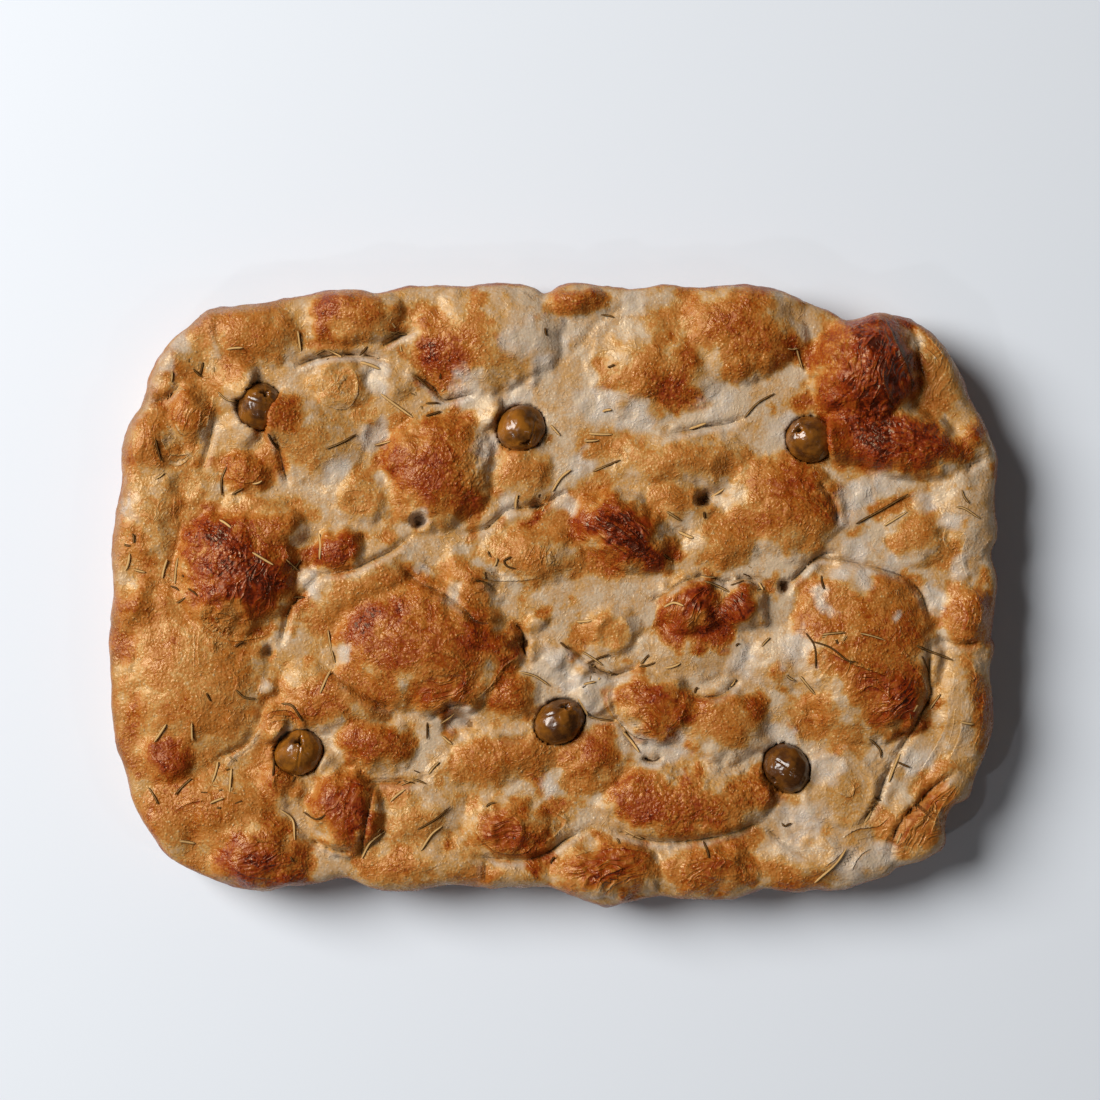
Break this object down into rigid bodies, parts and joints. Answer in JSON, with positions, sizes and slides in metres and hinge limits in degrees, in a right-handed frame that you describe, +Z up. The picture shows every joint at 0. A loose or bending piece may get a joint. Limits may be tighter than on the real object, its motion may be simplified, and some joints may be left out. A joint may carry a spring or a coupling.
{
  "type": "olive focaccia",
  "caption": "Pan-baked slab of bubbly flatbread with rounded corners, whole pitted olives pressed into dimples and rosemary needles on a browned crust.",
  "frame": {"origin": "centre of the flat underside, midway between the slab's ends and sides", "axes": "+X along the slab's length, +Y across it towards the side with three olives near the edge, +Z up out of the crust"},
  "size_m": [0.3299, 0.2319, 0.0431],
  "materials": {
    "crust": "baked crust with a thin coat of oil",
    "olive": "oily baked olive skin"
  },
  "bodies": {
    "root": {"bread": "crust", "olive_far_left": "olive", "olive_far_middle": "olive", "olive_far_right": "olive", "olive_near_left": "olive", "olive_near_middle": "olive", "olive_near_right": "olive"}
  },
  "joints": []
}
